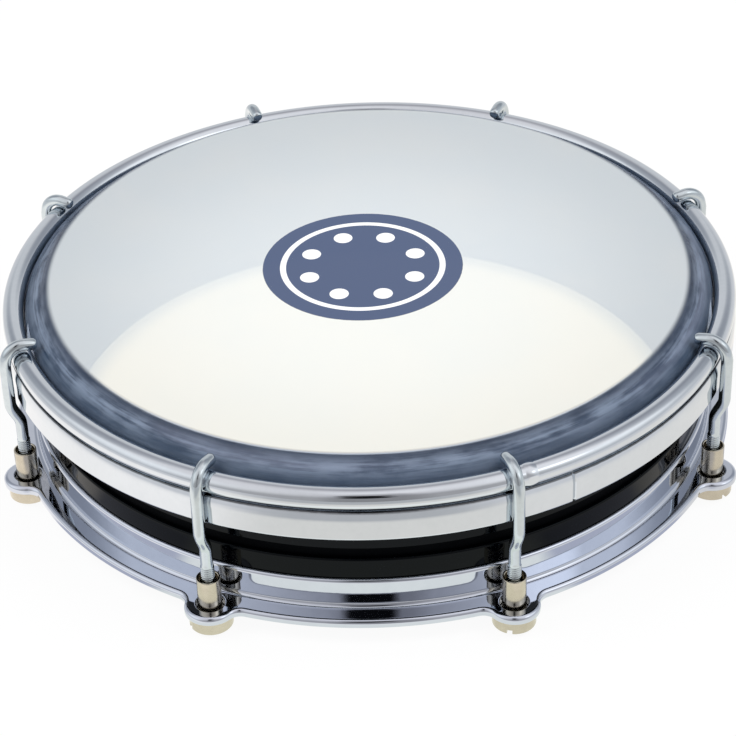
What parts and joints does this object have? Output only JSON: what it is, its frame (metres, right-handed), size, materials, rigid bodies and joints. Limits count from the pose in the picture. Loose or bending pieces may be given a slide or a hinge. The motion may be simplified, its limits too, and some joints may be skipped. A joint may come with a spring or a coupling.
{
  "type": "tamborim",
  "caption": "Small single-headed frame drum with a round plastic shell, clamped plastic head, beaded rim, flanged lower ring and hooks tensioned by tube nuts.",
  "frame": {"origin": "on the drum's axis, on the plane that the shell's lower edge rests on", "axes": "+Z along the drum's axis, towards the playing surface; the tension hooks stand at 22.5 degrees from +X and every 45 degrees after that"},
  "size_m": [0.164, 0.164, 0.0411],
  "materials": {
    "black_plastic": "gloss black moulded plastic",
    "milky_film": "hazy see-through polyester film",
    "hoop_metal": "plain",
    "rim_chrome": "polished chrome",
    "ring_chrome": "polished chrome",
    "hook_zinc": "bright plated rod",
    "nut_nickel": "warm nickel plate"
  },
  "bodies": {
    "drum": {"shell": "black_plastic", "drumhead_film": "milky_film", "flesh_hoop": "hoop_metal", "rim": "rim_chrome", "lower_ring": "ring_chrome"},
    "nut_1": {"tube_nut_1": "nut_nickel"},
    "tension_hook_1": {"hook_1": "hook_zinc"},
    "nut_2": {"tube_nut_2": "nut_nickel"},
    "tension_hook_2": {"hook_2": "hook_zinc"},
    "nut_3": {"tube_nut_3": "nut_nickel"},
    "tension_hook_3": {"hook_3": "hook_zinc"},
    "nut_4": {"tube_nut_4": "nut_nickel"},
    "tension_hook_4": {"hook_4": "hook_zinc"},
    "nut_5": {"tube_nut_5": "nut_nickel"},
    "tension_hook_5": {"hook_5": "hook_zinc"},
    "nut_6": {"tube_nut_6": "nut_nickel"},
    "tension_hook_6": {"hook_6": "hook_zinc"},
    "nut_7": {"tube_nut_7": "nut_nickel"},
    "tension_hook_7": {"hook_7": "hook_zinc"},
    "nut_8": {"tube_nut_8": "nut_nickel"},
    "tension_hook_8": {"hook_8": "hook_zinc"}
  },
  "joints": [
    {"name": "nut_1_turn", "type": "hinge", "parent": "drum", "child": "nut_1", "pos_m": [0.0755, 0.03127, 0.0041], "axis": [0, 0, -1], "range_deg": [0, 1440]},
    {"name": "hook_1_rise", "type": "slide", "parent": "drum", "child": "tension_hook_1", "axis": [0, 0, 1], "range_m": [0, 0.002]},
    {"name": "nut_2_turn", "type": "hinge", "parent": "drum", "child": "nut_2", "pos_m": [0.03127, 0.0755, 0.0041], "axis": [0, 0, -1], "range_deg": [0, 1440]},
    {"name": "hook_2_rise", "type": "slide", "parent": "drum", "child": "tension_hook_2", "axis": [0, 0, 1], "range_m": [0, 0.002]},
    {"name": "nut_3_turn", "type": "hinge", "parent": "drum", "child": "nut_3", "pos_m": [-0.03127, 0.0755, 0.0041], "axis": [0, 0, -1], "range_deg": [0, 1440]},
    {"name": "hook_3_rise", "type": "slide", "parent": "drum", "child": "tension_hook_3", "axis": [0, 0, 1], "range_m": [0, 0.002]},
    {"name": "nut_4_turn", "type": "hinge", "parent": "drum", "child": "nut_4", "pos_m": [-0.0755, 0.03127, 0.0041], "axis": [0, 0, -1], "range_deg": [0, 1440]},
    {"name": "hook_4_rise", "type": "slide", "parent": "drum", "child": "tension_hook_4", "axis": [0, 0, 1], "range_m": [0, 0.002]},
    {"name": "nut_5_turn", "type": "hinge", "parent": "drum", "child": "nut_5", "pos_m": [-0.0755, -0.03127, 0.0041], "axis": [0, 0, -1], "range_deg": [0, 1440]},
    {"name": "hook_5_rise", "type": "slide", "parent": "drum", "child": "tension_hook_5", "axis": [0, 0, 1], "range_m": [0, 0.002]},
    {"name": "nut_6_turn", "type": "hinge", "parent": "drum", "child": "nut_6", "pos_m": [-0.03127, -0.0755, 0.0041], "axis": [0, 0, -1], "range_deg": [0, 1440]},
    {"name": "hook_6_rise", "type": "slide", "parent": "drum", "child": "tension_hook_6", "axis": [0, 0, 1], "range_m": [0, 0.002]},
    {"name": "nut_7_turn", "type": "hinge", "parent": "drum", "child": "nut_7", "pos_m": [0.03127, -0.0755, 0.0041], "axis": [0, 0, -1], "range_deg": [0, 1440]},
    {"name": "hook_7_rise", "type": "slide", "parent": "drum", "child": "tension_hook_7", "axis": [0, 0, 1], "range_m": [0, 0.002]},
    {"name": "nut_8_turn", "type": "hinge", "parent": "drum", "child": "nut_8", "pos_m": [0.0755, -0.03127, 0.0041], "axis": [0, 0, -1], "range_deg": [0, 1440]},
    {"name": "hook_8_rise", "type": "slide", "parent": "drum", "child": "tension_hook_8", "axis": [0, 0, 1], "range_m": [0, 0.002]}
  ],
  "couplings": [
    {"joint": "nut_1_turn", "follows": "hook_1_rise", "rad_per_m": 12566},
    {"joint": "nut_2_turn", "follows": "hook_2_rise", "rad_per_m": 12566},
    {"joint": "nut_3_turn", "follows": "hook_3_rise", "rad_per_m": 12566},
    {"joint": "nut_4_turn", "follows": "hook_4_rise", "rad_per_m": 12566},
    {"joint": "nut_5_turn", "follows": "hook_5_rise", "rad_per_m": 12566},
    {"joint": "nut_6_turn", "follows": "hook_6_rise", "rad_per_m": 12566},
    {"joint": "nut_7_turn", "follows": "hook_7_rise", "rad_per_m": 12566},
    {"joint": "nut_8_turn", "follows": "hook_8_rise", "rad_per_m": 12566}
  ]
}
